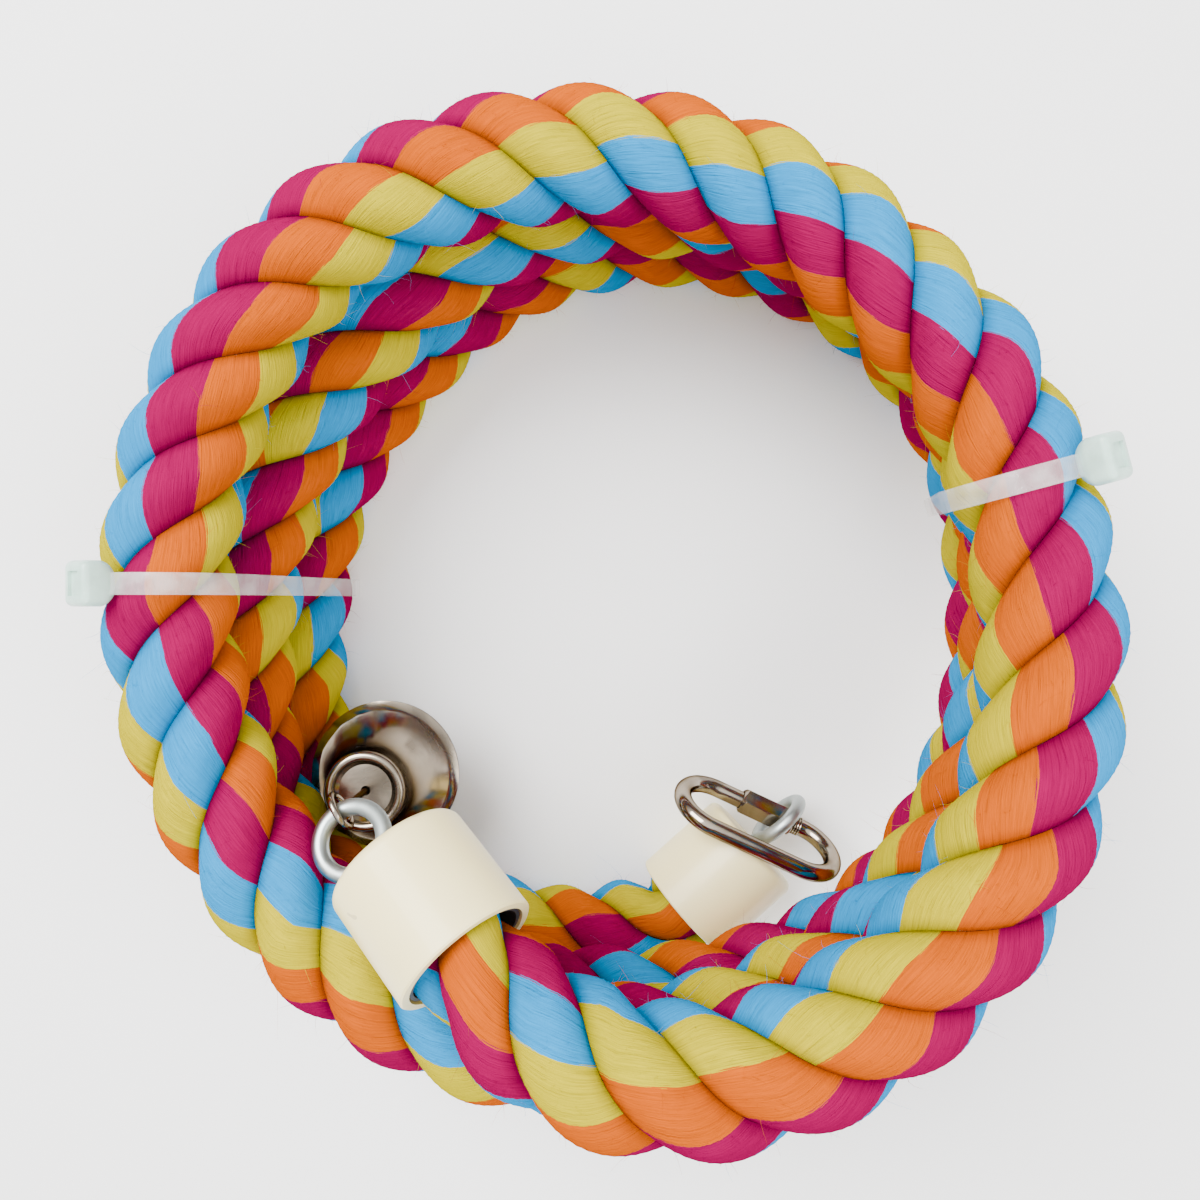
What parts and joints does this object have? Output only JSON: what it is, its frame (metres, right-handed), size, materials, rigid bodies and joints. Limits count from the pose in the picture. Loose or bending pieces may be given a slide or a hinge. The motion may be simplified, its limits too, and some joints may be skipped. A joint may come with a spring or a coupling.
{
  "type": "rope bird perch",
  "caption": "Bendable cotton rope perch for a cage bird, coiled and tied, with capped ends, eye bolts, a small bell and an oval quick link.",
  "frame": {"origin": "on the ground under the middle of the part's outline, the coil lying flat on z = 0", "axes": "+Z up, the axis of the coil; +X to the right and +Y up as the picture shows it from above"},
  "size_m": [0.2411, 0.2394, 0.122],
  "materials": {
    "cotton": "matte",
    "core_steel": "satin",
    "tape": "matte",
    "cap_plastic": "satin",
    "zinc": "dull plating",
    "nickel": "polished",
    "tie_plastic": "translucent satin"
  },
  "bodies": {
    "rope": {"strand_1": "cotton", "strand_2": "cotton", "strand_3": "cotton", "core_wire": "core_steel", "end_wrap_bell": "tape", "end_wrap_link": "tape", "end_cap_bell": "cap_plastic", "end_cap_link": "cap_plastic", "eye_bolt_bell": "zinc", "eye_bolt_link": "zinc", "washer_bell": "zinc", "washer_link": "zinc", "nut_bell": "zinc", "nut_link": "zinc", "tie_left": "tie_plastic", "tie_right": "tie_plastic"},
    "link": {"quick_link": "nickel"},
    "sleeve": {"sleeve_nut": "nickel"},
    "hanger": {"bell_hanger": "nickel"},
    "bell_body": {"bell": "nickel"},
    "clapper_body": {"clapper": "nickel"}
  },
  "joints": [
    {"name": "link_swing", "type": "hinge", "parent": "rope", "child": "link", "pos_m": [0.04232, -0.05945, 0.0171], "axis": [-0.9063, 0.4226, 0], "range_deg": [0, 150]},
    {"name": "sleeve_screw", "type": "slide", "parent": "link", "child": "sleeve", "axis": [-0.9063, 0.4226, 0], "range_m": [0, 0.0065]},
    {"name": "bell_swing", "type": "hinge", "parent": "rope", "child": "hanger", "pos_m": [-0.06034, -0.04743, 0.0802], "axis": [0.508, -0.8613, 0], "range_deg": [0, 25]},
    {"name": "bell_spin", "type": "hinge", "parent": "hanger", "child": "bell_body", "pos_m": [-0.06034, -0.04743, 0.058], "axis": [0, 0, 1], "continuous": true},
    {"name": "clapper_swing", "type": "hinge", "parent": "hanger", "child": "clapper_body", "pos_m": [-0.06034, -0.04743, 0.0468], "axis": [-0.508, 0.8613, 0], "range_deg": [-35, 35]}
  ]
}
